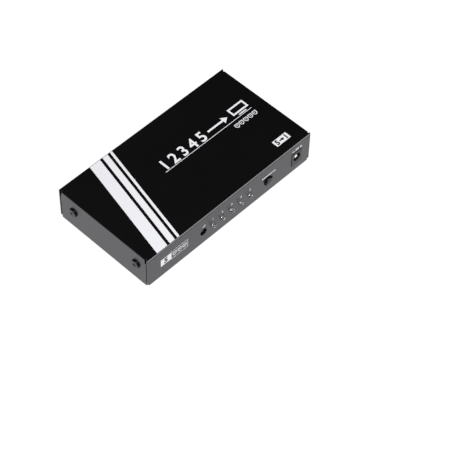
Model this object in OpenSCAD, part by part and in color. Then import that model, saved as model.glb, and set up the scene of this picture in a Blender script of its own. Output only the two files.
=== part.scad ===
// Desktop video switch box: a folded steel casing round one circuit board.
// Five video inputs and one output open at the rear. The front panel has a window
// for the infrared receiver, five lamps, a push button and a power inlet.
// X runs along the front, the front panel faces -Y and Z is up. The origin lies under
// the middle of the casing, on the surface that the feet stand on.

/* [Casing] */
// Length of the front panel, flush with the cover's end flaps
case_l = 142; // [126:1:170]
// Depth from the front panel to the rear panel
case_w = 77; // [74:0.2:100]
// Height of the steel casing without its feet
case_h = 25.4; // [22.5:0.1:34]
// Thickness of the sheet steel
sheet_t = 0.8; // [0.6:0.1:1.2]
// Inner radius of the folds in the sheet
fold_r = 0.1; // [0.1:0.1:0.8]
// Gap between the cover and the tray's panels and lugs under it
cover_gap = 0.2; // [0.05:0.05:0.3]
// Gap between the flaps' edges and the panels' ends
seam_gap = 0.6; // [0.2:0.05:0.8]
// Height of the lips that the cover's front and rear edges are folded into
lip_h = 1.7; // [1.4:0.1:3]
// Width of the relief cut in a flap's upper corners, between its fold and the lip
relief_w = 0.9; // [0.4:0.1:2]
// Height of the relief cut, from the top down
relief_h = 3.6; // [2:0.1:5]
// Height of the flaps' lower edges above the underside
flap_lift = 0.5; // [0.1:0.1:1.5]
// Height of the panels' ends, which cover the flaps' edges, above the underside
ear_lift = 2; // [1.5:0.1:4]
// Distance of the tray's bottom from the ends of the casing
tray_inset = 1.5; // [1.3:0.1:3]
// Metal left round a screw hole in the lugs at the tray's ends
lug_margin = 5; // [4:0.5:7]

/* [End screws] */
// Thread diameter of the end screws and board screws
screw_d = 2.9; // [2.4:0.1:3.1]
// Length of the end screws under the head
screw_l = 5; // [3:0.5:6]
// Head diameter of the end screws
head_d = 6.4; // [5.4:0.1:7]
// Head height of the end screws
head_h = 1.3; // [1:0.1:2.4]
// Rounding of a screw head's edge
head_edge_r = 0.4; // [0.2:0.1:0.8]
// Length of each slot of the cross recess
recess_l = 3.4; // [2.4:0.1:4]
// Width of each slot of the cross recess
recess_w = 0.8; // [0.5:0.1:1.2]
// Depth of the cross recess
recess_depth = 0.9; // [0.6:0.1:1.2]
// Height of the end screws above the underside
screw_z = 13.9; // [12:0.1:15]
// Distance of the front pair of end screws from the front panel
screw_front_inset = 10.2; // [8:0.1:14]
// Distance of the rear pair of end screws from the rear panel
screw_rear_inset = 12; // [8:0.1:14]

/* [Feet] */
// Diameter of a stick-on foot
foot_d = 9; // [6:0.5:12]
// Height of a foot
foot_h = 1.5; // [1:0.1:3]
// Rounding of a foot's lower edge
foot_edge_r = 0.5; // [0.2:0.1:0.8]
// Distance of a foot's middle from the ends of the casing
foot_inset_x = 16; // [12:1:24]
// Distance of a foot's middle from the front and rear panels
foot_inset_y = 12; // [9:1:20]

/* [Circuit board] */
// Thickness of the circuit board
board_t = 1.6; // [1:0.1:2]
// Gap between the board's edge and the steel
board_gap = 0.4; // [0.2:0.1:0.8]
// Height of the standoffs under the board
standoff_h = 3.9; // [1.8:0.1:5]
// Diameter of a standoff
standoff_d = 5.6; // [5:0.1:6.4]
// Diameter of the spigot that rivets a standoff into the tray
spigot_d = 4; // [3.7:0.1:4.6]
// Head diameter of the board screws
board_head_d = 5.5; // [4.6:0.1:6]
// Head height of the board screws
board_head_h = 1.8; // [1.6:0.1:2.4]
// Distance of the board screws from the board's short edges
board_screw_inset = 5.2; // [4:0.1:6]
// Room kept between neighbouring parts on the board
part_gap = 1.5; // [1:0.1:2.5]
// How far legs and pins stick out under the board
leg_below = 0.9; // [0.5:0.1:1.2]
// Side of a square leg or pin
leg_t = 0.5; // [0.4:0.05:0.6]
// Gap round a leg or pin in the board
leg_gap = 0.15; // [0.1:0.05:0.25]

/* [Video sockets] */
// Distance of the outer sockets' middles from the ends of the casing
port_inset = 16; // [15:0.5:24]
// Width of a socket's opening
port_open_w = 14; // [13.5:0.1:14.5]
// Height of a socket's opening
port_open_h = 4.55; // [4.4:0.05:5]
// Width of the slanted lower corners of the opening
port_taper_w = 2; // [1:0.1:2.4]
// Height of the slanted lower corners of the opening
port_taper_h = 1.9; // [1:0.1:2.2]
// Length of a socket shell
port_l = 11.6; // [10.5:0.1:13]
// Thickness of a socket shell
shell_t = 0.4; // [0.3:0.05:0.5]
// How far a shell stands out of the rear panel
port_proud = 1; // [0.4:0.1:1.2]
// Depth of the plastic block that closes a shell's inner end
port_block_l = 3.6; // [3:0.1:4.5]
// Width of a socket's tongue
tongue_w = 11.2; // [10.8:0.1:11.6]
// Thickness of a socket's tongue
tongue_t = 1.8; // [1.6:0.1:2]
// Distance of the tongue's tip inside the mouth
tongue_recess = 1.2; // [0.8:0.1:2]
// Height of the tongue above the middle of the opening
tongue_rise = 0.3; // [0:0.05:0.4]
// Contact blades on the tongue's upper face
contacts_upper = 10; // [8:1:10]
// Contact blades on the tongue's lower face
contacts_lower = 9; // [7:1:9]
// Distance between neighbouring contact blades
contact_pitch = 1; // [0.9:0.05:1.05]
// Width of a contact blade
contact_w = 0.45; // [0.3:0.05:0.55]
// Thickness of a contact blade
contact_t = 0.25; // [0.2:0.05:0.3]
// How far a contact blade stands out of the tongue
contact_rise = 0.05; // [0.03:0.01:0.08]
// Distance of the blades' tips from the tongue's tip
contact_inset = 0.7; // [0.4:0.1:1.2]
// Width of a shell's solder leg
shell_leg_w = 1.4; // [1:0.1:2]
// Distance of the first pair of solder legs from the mouth
shell_leg_first = 4.6; // [4:0.1:5]
// Distance between the two pairs of solder legs
shell_leg_pitch = 4.8; // [4:0.1:5]

/* [Front row] */
// Height of the lamps and receiver above the board
row_h = 4.7; // [4.2:0.1:6]
// Distance of the receiver from the left end
ir_inset = 47.1; // [40:0.1:52]
// Room between the last lamp and the button beyond one place in the row, counted in places
row_skip = 1.05; // [0:0.05:2]
// Diameter of a lamp
led_d = 3; // [2.8:0.1:3.4]
// Length of a lamp with its flange
led_l = 5.3; // [4.8:0.1:6]
// Width of the flange round a lamp's base
led_flange_w = 0.4; // [0.2:0.1:0.6]
// Thickness of the flange
led_flange_t = 1; // [0.8:0.1:1.2]
// How far a lamp stands out of the front panel
led_proud = 2.3; // [0.3:0.1:2.6]
// Distance between a lamp's two legs
led_leg_pitch = 2.54; // [2:0.02:2.8]
// Length of a lamp's legs before they turn down
led_leg_run = 2; // [1.2:0.1:3]
// Gap round a lamp in the front panel
led_gap = 0.15; // [0.1:0.05:0.25]
// Gap round the receiver's dome in the front panel
ir_gap = 0.2; // [0.1:0.05:0.4]
// Diameter of the receiver's dome
ir_dome_d = 5; // [4.2:0.1:5.2]
// Distance of the dome's tip behind the panel's face
ir_recess = 0.7; // [0:0.1:1]
// Width of the receiver
ir_w = 6; // [5.4:0.1:7]
// Depth of the receiver's block behind its dome
ir_l = 3.4; // [2.6:0.1:4]
// Height of the receiver's block above its dome's axis
ir_top = 3.5; // [2.6:0.1:4]
// Gap between the receiver's block and the board
ir_lift = 1; // [0.5:0.1:1.5]
// Distance between the receiver's legs
ir_leg_pitch = 2; // [1.5:0.1:2.2]

/* [Button] */
// Distance of the button from the right end
button_inset = 37.5; // [34:0.1:42]
// How much higher than the lamps the button sits, below zero for lower
button_rise = -0.3; // [-1:0.1:1]
// Diameter of the button's cap
button_d = 6.3; // [5:0.1:7]
// How far the cap stands out of the front panel
button_proud = 1.8; // [1.8:0.1:3]
// Length of the cap
cap_l = 5; // [4.5:0.1:6]
// Rounding of the cap's front edge
cap_edge_r = 0.5; // [0.2:0.1:1]
// Depth of the cap's socket for the plunger
cap_socket_l = 3.4; // [2.5:0.1:3.8]
// How far the button can be pushed in
button_travel = 1.5; // [0.5:0.1:1.7]
// Room left between moving parts at the ends of the travel
stop_gap = 0.3; // [0.2:0.05:0.5]
// Gap round the cap in the front panel
button_gap = 0.65; // [0.2:0.05:0.8]
// Diameter of the switch's plunger
plunger_d = 3; // [2.4:0.1:3.4]
// Diameter of the plunger's collar inside the switch
collar_d = 4.6; // [4.2:0.1:5.2]
// Length of the plunger's collar
collar_l = 1.2; // [0.8:0.1:2]
// Gap round the plunger and its collar in the switch
slide_gap = 0.2; // [0.1:0.05:0.3]
// Width of the switch
switch_w = 8; // [7:0.1:9]
// Height of the switch above the plunger's axis
switch_top = 3.6; // [3.4:0.1:4.5]
// Wall at the switch's front, and thickness of its back plate
switch_wall = 1; // [0.8:0.1:1.4]
// Distance between the two rows of switch pins
switch_row_pitch = 4; // [3:0.1:5]
// Distance between neighbouring pins in a row
switch_pin_pitch = 1.5; // [1.2:0.1:1.7]

/* [Power inlet] */
// Distance of the inlet from the right end
dc_inset = 12; // [11.4:0.1:16]
// How far the inlet's collar stands out of the front panel
dc_proud = 0.3; // [0.2:0.1:0.8]
// Gap round the inlet in the front panel
dc_gap = 0.1; // [0.1:0.05:0.4]
// Width of the inlet
dc_w = 9; // [8.4:0.1:9.4]
// Wall of the inlet's housing above its bore
dc_roof_t = 1.05; // [0.8:0.05:1.4]
// How much higher the collar is than the housing behind it
dc_step = 0.7; // [0.5:0.1:2]
// Length of the inlet
dc_l = 14; // [12.5:0.1:15]
// Length of the inlet's collar
dc_collar_l = 3.4; // [2.5:0.1:5]
// Height of the inlet's axis above the board
dc_axis_h = 6.2; // [5:0.1:6.8]
// Diameter of the inlet's bore
dc_bore_d = 6.3; // [6:0.1:6.6]
// Depth of the inlet's bore
dc_bore_l = 10.5; // [9.5:0.1:11]
// Diameter of the centre pin
dc_pin_d = 2.5; // [1.9:0.1:2.6]
// How much thicker the pin is, all round, where the housing holds it
dc_root_step = 0.2; // [0.1:0.05:0.4]
// Distance of the pin's tip behind the collar's face
dc_pin_recess = 0.7; // [0.2:0.1:2]
// Chamfer on the pin's tip
dc_pin_chamfer = 0.15; // [0.1:0.05:0.5]
// How far the rivet head stands out round the pin
dc_rivet_w = 0.8; // [0.5:0.1:1.2]
// Thickness of the rivet head and of the pin's solder tail
dc_rivet_t = 0.6; // [0.4:0.1:0.8]
// Width of the leaf contact and of the solder tails
dc_leaf_w = 2.2; // [1.6:0.1:2.4]
// Thickness of the leaf contact
dc_leaf_t = 0.35; // [0.25:0.05:0.4]
// How far the leaf contact stands out of the bore's wall
dc_leaf_proud = 0.35; // [0.2:0.05:0.5]
// Distance of the leaf contact's tip behind the collar's face
dc_leaf_inset = 2; // [1:0.1:3]
// Gap round a socket in the rear panel, and round a screw in its clearance hole
cut_gap = 0.2; // [0.1:0.05:0.3]
// Gap between pieces that are pressed or seated together
fit_gap = 0.05; // [0.02:0.01:0.08]

/* [Parts on the board] */
// Place of the video chip along the board
video_chip_x = 0; // [-8:1:8]
// Place of the video chip across the board
video_chip_y = 5; // [0:1:8]
// Side of the square video chip
video_chip_w = 12; // [9:0.5:14]
// Height of the video chip
video_chip_h = 1.4; // [1:0.1:2]
// Leads along each side of the video chip
video_chip_leads = 12; // [6:1:13]
// Distance of the controller chip from the left end
controller_inset = 35; // [23:1:37]
// Place of the controller chip across the board
controller_y = -4; // [-10:1:8]
// Length of the controller chip
controller_l = 12.8; // [9:0.2:15]
// Width of the controller chip
controller_w = 7.5; // [5:0.5:8]
// Height of the controller chip
controller_h = 2.3; // [1.5:0.1:3]
// Leads along each long side of the controller chip
controller_leads = 10; // [6:1:11]
// Distance between neighbouring chip leads
lead_pitch = 0.8; // [0.7:0.05:0.85]
// Width of a chip lead
lead_w = 0.35; // [0.25:0.05:0.4]
// Thickness of a chip lead
lead_t = 0.2; // [0.15:0.05:0.3]
// Reach of a chip lead past the chip's side
lead_reach = 1.2; // [1:0.1:1.6]
// Distance of the voltage regulator from the right end
regulator_inset = 27; // [21:1:35]
// Place of the voltage regulator across the board
regulator_y = -8; // [-10:1:-5]
// Length of the voltage regulator
regulator_l = 6.5; // [5:0.1:7]
// Width of the voltage regulator
regulator_w = 3.5; // [3:0.1:4]
// Height of the voltage regulator
regulator_h = 1.6; // [1.2:0.1:2]
// Leads along one side of the regulator
regulator_leads = 3; // [2:1:3]
// Distance between neighbouring leads of the regulator
regulator_pitch = 2.3; // [1.5:0.1:2.3]
// Distance of the first filter capacitor from the right end
capacitor_inset = 23; // [19:1:34]
// Place of the first filter capacitor across the board
capacitor_y = 6; // [3:1:12]
// Distance between the two filter capacitors
capacitor_pitch = 12; // [9:0.5:14]
// Diameter of a filter capacitor
capacitor_d = 6.3; // [5:0.1:6.6]
// Height of a filter capacitor above its base
capacitor_h = 5.4; // [4:0.1:7]
// Side of a capacitor's square base
capacitor_base_w = 6.8; // [6.6:0.1:7.6]
// Thickness of a capacitor's base
capacitor_base_t = 0.9; // [0.6:0.1:1.4]
// Gap between the controller chip and the crystal
crystal_gap = 6; // [4:0.5:8]
// Place of the crystal across the board
crystal_y = -6; // [-10:1:8]
// Length of the crystal's can
crystal_l = 11; // [8:0.5:12]
// Width of the crystal's can
crystal_w = 4.6; // [3.6:0.1:5]
// Height of the crystal's can
crystal_h = 3.5; // [2.5:0.1:5]
// Length of a surge array
array_l = 2.5; // [2:0.1:3]
// Width of a surge array
array_w = 1.2; // [0.8:0.1:1.6]
// Height of a surge array
array_h = 0.6; // [0.4:0.1:1]
// Distance between the two surge arrays beside a socket
array_pitch = 5; // [4:0.5:8]

/* [Hidden] */
$fn = 48;
PORTS = ["input_5", "input_4", "input_3", "input_2", "input_1", "output"];
LEDS = ["led_1", "led_2", "led_3", "led_4", "led_5"];

STEEL = "#1b1b1d";
NICKEL = "#c8c6c0";
GOLD = "#d9b25c";
BLACK_PLASTIC = "#141414";
LAMP_CLEAR = "#dfe6ea";
BOARD_GREEN = "#1f5a3a";
RUBBER = "#222222";
ALUMINIUM = "#b9bcbf";

ENDS = [-1, 1];
front_y = -case_w / 2;
rear_y = case_w / 2;
fold_outer_r = fold_r + sheet_t;
flap_w = case_w - 2 * (sheet_t + seam_gap);
tray_l = case_l - 2 * tray_inset;
lug_l = case_l - 2 * (sheet_t + cover_gap);
wall_top = case_h - lip_h - cover_gap;
screw_hole_d = screw_d + 2 * fit_gap;
clear_hole_d = screw_d + 4 * cut_gap;
screw_ys = [front_y + screw_front_inset, rear_y - screw_rear_inset];

board_z = sheet_t + standoff_h;
board_top = board_z + board_t;
board_l = lug_l - 2 * (sheet_t + board_gap);
board_w = case_w - 2 * (sheet_t + board_gap);
leg_hole_w = leg_t + 2 * leg_gap;

mouth_y = rear_y + port_proud;
block_y = mouth_y - port_l + port_block_l;
port_z = board_top + shell_t + port_open_h / 2;
tongue_tip_y = mouth_y - tongue_recess;
blade_tip_y = tongue_tip_y - contact_inset;
tongue_z = port_z + tongue_rise;
shell_leg_ys = [mouth_y - shell_leg_first, mouth_y - shell_leg_first - shell_leg_pitch];
port_pitch = (case_l - 2 * port_inset) / (len(PORTS) - 1);
port_xs = [for (i = [0 : len(PORTS) - 1]) -case_l / 2 + port_inset + i * port_pitch];

row_z = board_top + row_h;
ir_x = -case_l / 2 + ir_inset;
button_x = case_l / 2 - button_inset;
row_pitch = (button_x - ir_x) / (len(LEDS) + row_skip + 1);
led_xs = [for (i = [1 : len(LEDS)]) ir_x + i * row_pitch];
button_z = row_z + button_rise;
led_back_y = front_y - led_proud + led_l;
led_leg_y = led_back_y + led_leg_run;
ir_block_y = front_y + ir_recess + ir_dome_d / 2;
ir_leg_y = ir_block_y + ir_l / 2;

cap_front_y = front_y - button_proud;
cap_back_y = cap_front_y + cap_l;
switch_y = cap_back_y + button_travel + stop_gap;
collar_y = switch_y + switch_wall + fit_gap;
switch_l = switch_wall + fit_gap + collar_l + button_travel + stop_gap;

dc_x = case_l / 2 - dc_inset;
dc_y = front_y - dc_proud;
dc_axis_z = board_top + dc_axis_h;
dc_body_h = dc_axis_h + dc_bore_d / 2 + dc_roof_t;
dc_h = dc_body_h + dc_step;
dc_leaf_r = dc_bore_d / 2 - dc_leaf_proud;
dc_back_y = dc_y + dc_l;
dc_tail_y = dc_y + dc_bore_l;

board_screw_x = board_l / 2 - board_screw_inset;
board_screw_ys = [
    dc_back_y + dc_rivet_t + part_gap + board_head_d / 2,
    mouth_y - port_l - part_gap - board_head_d / 2
];
board_screw_l = board_t + standoff_h;
array_y = mouth_y - port_l - part_gap - array_w / 2;
video_chip_at = [video_chip_x, video_chip_y];
controller_at = [-case_l / 2 + controller_inset, controller_y];
regulator_at = [case_l / 2 - regulator_inset, regulator_y];
capacitor_at = [case_l / 2 - capacitor_inset, capacitor_y];
crystal_at = [controller_at[0] + controller_l / 2 + crystal_gap + crystal_l / 2, crystal_y];

// The socket opening's outline, moved out by d on every side
function socket_outline(d) =
    let (
        half_w = port_open_w / 2,
        half_h = port_open_h / 2,
        slant = norm([port_taper_w, port_taper_h]),
        reach = port_taper_h * half_w + port_taper_w * (half_h - port_taper_h) + d * slant,
        side_v = (port_taper_h * (half_w + d) - reach) / port_taper_w,
        foot_u = (reach - port_taper_w * (half_h + d)) / port_taper_h
    )
    [
        [-half_w - d, half_h + d], [half_w + d, half_h + d], [half_w + d, side_v],
        [foot_u, -half_h - d], [-foot_u, -half_h - d], [-half_w - d, side_v]
    ];

// Lifts the casing onto its feet
module standing() {
    translate([0, 0, foot_h]) children();
}

// A rectangle whose two lower corners are round
module round_foot_2d(w, h, r) {
    translate([-w / 2 + r, 0]) square([w - 2 * r, h]);
    translate([-w / 2, r]) square([w, h - r]);
    for (side = ENDS) translate([side * (w / 2 - r), r]) circle(r);
}

// A folded sheet seen from its end: a trough w wide and h high
module trough_2d(w, h) {
    difference() {
        round_foot_2d(w, h, fold_outer_r);
        translate([0, sheet_t]) round_foot_2d(w - 2 * sheet_t, h, fold_r);
    }
}

// A hole along Y through the front or rear panel
module panel_hole(x, y, z, d) {
    translate([x, y, z]) rotate([90, 0, 0]) cylinder(d = d, h = 4 * sheet_t, center = true);
}

// A hole along X through the flaps or lugs
module end_hole(x, y, z, d) {
    translate([x, y, z]) rotate([0, 90, 0]) cylinder(d = d, h = 4 * sheet_t, center = true);
}

// Repeats its children at the four end screws, with Z pointing out of the box
module at_end_screws() {
    for (side = ENDS, y = screw_ys)
        translate([side * case_l / 2, y, screw_z]) rotate([0, side * 90, 0]) children();
}

// Repeats its children at the four board screws
module at_board_screws() {
    for (side = ENDS, y = board_screw_ys) translate([side * board_screw_x, y, 0]) children();
}

// A pan head screw with a cross recess, the underside of its head at Z = 0
module pan_screw(l, head_d, head_h) {
    difference() {
        union() {
            translate([0, 0, -l]) cylinder(d = screw_d, h = l);
            rotate_extrude() intersection() {
                union() {
                    square([head_d / 2, head_h - head_edge_r]);
                    square([head_d / 2 - head_edge_r, head_h]);
                    translate([head_d / 2 - head_edge_r, head_h - head_edge_r]) circle(head_edge_r);
                }
                square([head_d, head_h]);
            }
        }
        for (turn = [0, 90]) rotate(turn)
            translate([-recess_l / 2, -recess_w / 2, head_h - recess_depth])
                cube([recess_l, recess_w, 2 * recess_depth]);
    }
}

// The ends fold down into flaps. The front and rear edges are pressed sharply down into lips,
// which run on past the flaps' folds to the casing's ends.
module top_cover() {
    flat_l = case_l - 2 * fold_outer_r;
    color(STEEL) difference() {
        union() {
            difference() {
                translate([0, 0, case_h]) rotate([90, 0, 0]) linear_extrude(flap_w, center = true)
                    mirror([0, 1]) trough_2d(case_l, case_h - flap_lift);
                for (side = ENDS, depth = ENDS)
                    translate([side * case_l / 2, depth * flap_w / 2, case_h])
                        cube([2 * fold_outer_r, 2 * relief_w, 2 * relief_h], center = true);
            }
            translate([-flat_l / 2, front_y, case_h - sheet_t]) cube([flat_l, case_w, sheet_t]);
            for (y = [front_y, rear_y - sheet_t])
                translate([-case_l / 2, y, case_h - lip_h]) cube([case_l, sheet_t, lip_h]);
        }
        at_end_screws() cylinder(d = clear_hole_d, h = 4 * sheet_t, center = true);
    }
}

module base_tray() {
    color(STEEL) difference() {
        union() {
            rotate([90, 0, 90]) linear_extrude(tray_l, center = true) trough_2d(case_w, wall_top);
            for (y = [front_y, rear_y - sheet_t])
                translate([-case_l / 2, y, ear_lift]) cube([case_l, sheet_t, wall_top - ear_lift]);
            for (y = screw_ys) translate([0, y, 0]) rotate([90, 0, 0])
                linear_extrude(2 * lug_margin, center = true) trough_2d(lug_l, screw_z + lug_margin);
        }
        panel_hole(ir_x, front_y, row_z, ir_dome_d + 2 * ir_gap);
        for (x = led_xs) panel_hole(x, front_y, row_z, led_d + 2 * led_gap);
        panel_hole(button_x, front_y, button_z, button_d + 2 * button_gap);
        translate([dc_x - dc_w / 2 - dc_gap, front_y - sheet_t, board_top - dc_gap])
            cube([dc_w + 2 * dc_gap, 3 * sheet_t, dc_h + 2 * dc_gap]);
        for (x = port_xs) translate([x, rear_y + sheet_t, port_z]) rotate([90, 0, 0])
            linear_extrude(3 * sheet_t) polygon(socket_outline(shell_t + cut_gap));
        for (side = ENDS, y = screw_ys) end_hole(side * lug_l / 2, y, screw_z, screw_hole_d);
        at_board_screws() cylinder(d = spigot_d + 2 * fit_gap, h = 4 * sheet_t, center = true);
    }
}

module end_screws() {
    color(BLACK_PLASTIC) at_end_screws() pan_screw(screw_l, head_d, head_h);
}

module rubber_feet() {
    foot_r = foot_d / 2;
    color(RUBBER) for (side = ENDS, depth = ENDS)
        translate([side * (case_l / 2 - foot_inset_x), depth * (case_w / 2 - foot_inset_y), -foot_h])
            rotate_extrude() intersection() {
                union() {
                    square([foot_r - foot_edge_r, foot_h]);
                    translate([0, foot_edge_r]) square([foot_r, foot_h - foot_edge_r]);
                    translate([foot_r - foot_edge_r, foot_edge_r]) circle(foot_edge_r);
                }
                square([foot_r, foot_h]);
            }
}

module board_standoffs() {
    color(NICKEL) at_board_screws() difference() {
        union() {
            translate([0, 0, sheet_t]) cylinder(d = standoff_d, h = standoff_h);
            cylinder(d = spigot_d, h = sheet_t + standoff_h);
        }
        cylinder(d = screw_hole_d, h = 4 * (sheet_t + standoff_h), center = true);
    }
}

// A square hole through the board for a leg or pin
module leg_hole(x, y) {
    translate([x - leg_hole_w / 2, y - leg_hole_w / 2, board_z - board_t])
        cube([leg_hole_w, leg_hole_w, 3 * board_t]);
}

// A slot through the board for a flat leg, w wide along X and l along Y
module leg_slot(x, y, w, l) {
    translate([x - w / 2 - leg_gap, y - l / 2 - leg_gap, board_z - board_t])
        cube([w + 2 * leg_gap, l + 2 * leg_gap, 3 * board_t]);
}

module circuit_board() {
    color(BOARD_GREEN) difference() {
        translate([-board_l / 2, -board_w / 2, board_z]) cube([board_l, board_w, board_t]);
        at_board_screws() translate([0, 0, board_z - board_t])
            cylinder(d = screw_d + 2 * cut_gap, h = 3 * board_t);
        for (x = port_xs, side = ENDS, y = shell_leg_ys)
            leg_slot(x + side * (port_open_w + shell_t) / 2, y, shell_t, shell_leg_w);
        for (x = led_xs, side = ENDS) leg_hole(x + side * led_leg_pitch / 2, led_leg_y);
        for (i = [-1 : 1]) leg_hole(ir_x + i * ir_leg_pitch, ir_leg_y);
        at_switch_pins() leg_hole(0, 0);
        leg_slot(dc_x, dc_back_y + dc_rivet_t / 2, dc_leaf_w, dc_rivet_t);
        leg_slot(dc_x, dc_tail_y - dc_leaf_t / 2, dc_leaf_w, dc_leaf_t);
    }
}

module board_screws() {
    color(NICKEL) at_board_screws() translate([0, 0, board_top])
        pan_screw(board_screw_l, board_head_d, board_head_h);
}

// The steel shell of one video socket, with four solder legs through the board
module port_shell(x) {
    leg_z = board_z - leg_below;
    color(NICKEL) {
        translate([x, mouth_y, port_z]) rotate([90, 0, 0]) linear_extrude(port_l) difference() {
            polygon(socket_outline(shell_t));
            polygon(socket_outline(0));
        }
        for (side = ENDS, y = shell_leg_ys)
            translate([x + side * (port_open_w + shell_t) / 2 - shell_t / 2, y - shell_leg_w / 2, leg_z])
                cube([shell_t, shell_leg_w, port_z - leg_z]);
    }
}

// The contact blades of one socket, or their grooves when widened by gap
module contact_bars(gap) {
    rows = [[1, contacts_upper], [-1, contacts_lower]];
    bar_w = contact_w + 2 * gap;
    for (row = rows, i = [0 : row[1] - 1]) {
        face_z = tongue_z + row[0] * (tongue_t / 2 + contact_rise - contact_t / 2);
        translate([(i - (row[1] - 1) / 2) * contact_pitch - bar_w / 2, block_y, face_z - contact_t / 2])
            cube([bar_w, blade_tip_y - block_y + gap, contact_t]);
    }
}

module port_tongue(x) {
    color(BLACK_PLASTIC) translate([x, 0, 0]) difference() {
        union() {
            translate([0, block_y, port_z]) rotate([90, 0, 0]) linear_extrude(port_block_l)
                polygon(socket_outline(-fit_gap));
            translate([-tongue_w / 2, block_y - port_block_l / 2, tongue_z - tongue_t / 2])
                cube([tongue_w, tongue_tip_y - block_y + port_block_l / 2, tongue_t]);
        }
        contact_bars(fit_gap);
    }
}

module port_contacts(x) {
    color(GOLD) translate([x, 0, 0]) contact_bars(0);
}

// The leaf contact seen from the side: along the bore, then down through the board
module leaf_2d(gap) {
    tip = dc_y + dc_leaf_inset;
    face_z = dc_axis_z - dc_leaf_r;
    translate([tip - gap, face_z - dc_leaf_t - gap])
        square([dc_tail_y - tip + 2 * gap, dc_leaf_t + 2 * gap]);
    translate([dc_tail_y - dc_leaf_t - gap, board_z - leg_below])
        square([dc_leaf_t + 2 * gap, face_z - board_z + leg_below]);
}

module dc_jack_housing() {
    color(BLACK_PLASTIC) difference() {
        union() {
            translate([dc_x - dc_w / 2, dc_y, board_top]) cube([dc_w, dc_collar_l, dc_h]);
            translate([dc_x - dc_w / 2, dc_y, board_top]) cube([dc_w, dc_l, dc_body_h]);
        }
        translate([dc_x, dc_tail_y, dc_axis_z]) rotate([90, 0, 0])
            cylinder(d = dc_bore_d, h = 2 * dc_bore_l);
        translate([dc_x, dc_back_y, dc_axis_z]) rotate([90, 0, 0])
            cylinder(d = dc_pin_d + 2 * (dc_root_step + fit_gap), h = dc_l, center = true);
        translate([dc_x, 0, 0]) rotate([90, 0, 90])
            linear_extrude(dc_leaf_w + 2 * fit_gap, center = true) leaf_2d(fit_gap);
    }
}

module dc_jack_pin() {
    pin_r = dc_pin_d / 2;
    root_r = pin_r + dc_root_step;
    root_l = dc_l - dc_bore_l;
    pin_l = dc_l - dc_pin_recess;
    color(NICKEL) {
        translate([dc_x, dc_back_y, dc_axis_z]) rotate([90, 0, 0]) rotate_extrude() polygon([
            [0, 0], [root_r, 0], [root_r, root_l], [pin_r, root_l],
            [pin_r, pin_l - dc_pin_chamfer], [pin_r - dc_pin_chamfer, pin_l], [0, pin_l]
        ]);
        translate([dc_x, dc_back_y + dc_rivet_t, dc_axis_z]) rotate([90, 0, 0])
            cylinder(d = dc_pin_d + 2 * dc_rivet_w, h = dc_rivet_t);
        translate([dc_x - dc_leaf_w / 2, dc_back_y, board_z - leg_below])
            cube([dc_leaf_w, dc_rivet_t, dc_axis_z - board_z + leg_below]);
    }
}

module dc_jack_leaf() {
    color(NICKEL) translate([dc_x, 0, 0]) rotate([90, 0, 90])
        linear_extrude(dc_leaf_w, center = true) leaf_2d(0);
}

// Turns its children so that Z runs into the box along the button's axis
module along_button(y) {
    translate([button_x, y, button_z]) rotate([-90, 0, 0]) children();
}

module button_cap() {
    cap_r = button_d / 2;
    color(BLACK_PLASTIC) along_button(cap_front_y) difference() {
        rotate_extrude() intersection() {
            union() {
                translate([0, cap_edge_r]) square([cap_r, cap_l - cap_edge_r]);
                square([cap_r - cap_edge_r, cap_l]);
                translate([cap_r - cap_edge_r, cap_edge_r]) circle(cap_edge_r);
            }
            square([cap_r, cap_l]);
        }
        translate([0, 0, cap_l - cap_socket_l]) cylinder(d = plunger_d + 2 * fit_gap, h = cap_l);
    }
}

module switch_plunger() {
    tip_y = cap_back_y - cap_socket_l + fit_gap;
    color(BLACK_PLASTIC) {
        along_button(tip_y) cylinder(d = plunger_d, h = collar_y + collar_l - tip_y);
        along_button(collar_y) cylinder(d = collar_d, h = collar_l);
    }
}

module switch_body() {
    color(BLACK_PLASTIC) difference() {
        translate([button_x - switch_w / 2, switch_y, board_top])
            cube([switch_w, switch_l, button_z - board_top + switch_top]);
        along_button(switch_y + switch_wall) cylinder(d = collar_d + 2 * slide_gap, h = 2 * switch_l);
        along_button(switch_y) cylinder(d = plunger_d + 2 * slide_gap, h = 4 * switch_wall, center = true);
    }
}

module switch_back() {
    color(BLACK_PLASTIC) translate([button_x - switch_w / 2, switch_y + switch_l, board_top])
        cube([switch_w, switch_wall, button_z - board_top + switch_top]);
}

// Repeats its children at the pins under the switch
module at_switch_pins() {
    mid_y = switch_y + switch_l / 2;
    for (side = ENDS, i = [-1 : 1])
        translate([button_x + side * switch_row_pitch / 2, mid_y + i * switch_pin_pitch, 0]) children();
}

// A square leg that ends leg_below under the board, with its top at top_z
module straight_leg(top_z) {
    translate([-leg_t / 2, -leg_t / 2, board_z - leg_below])
        cube([leg_t, leg_t, top_z - board_z + leg_below]);
}

module switch_pins() {
    color(NICKEL) at_switch_pins() straight_leg(board_top);
}

module lamp(x) {
    lamp_r = led_d / 2;
    color(LAMP_CLEAR) translate([x, led_back_y, row_z]) rotate([90, 0, 0]) rotate_extrude() {
        square([lamp_r + led_flange_w, led_flange_t]);
        square([lamp_r, led_l - lamp_r]);
        intersection() {
            translate([0, led_l - lamp_r]) circle(lamp_r);
            square([lamp_r, led_l]);
        }
    }
}

module led_legs() {
    leg_end_y = led_leg_y + leg_t / 2;
    color(NICKEL) for (x = led_xs, side = ENDS) translate([x + side * led_leg_pitch / 2, led_leg_y, 0]) {
        straight_leg(row_z + leg_t / 2);
        translate([-leg_t / 2, led_back_y - led_leg_y, row_z - leg_t / 2])
            cube([leg_t, leg_end_y - led_back_y, leg_t]);
    }
}

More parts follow.
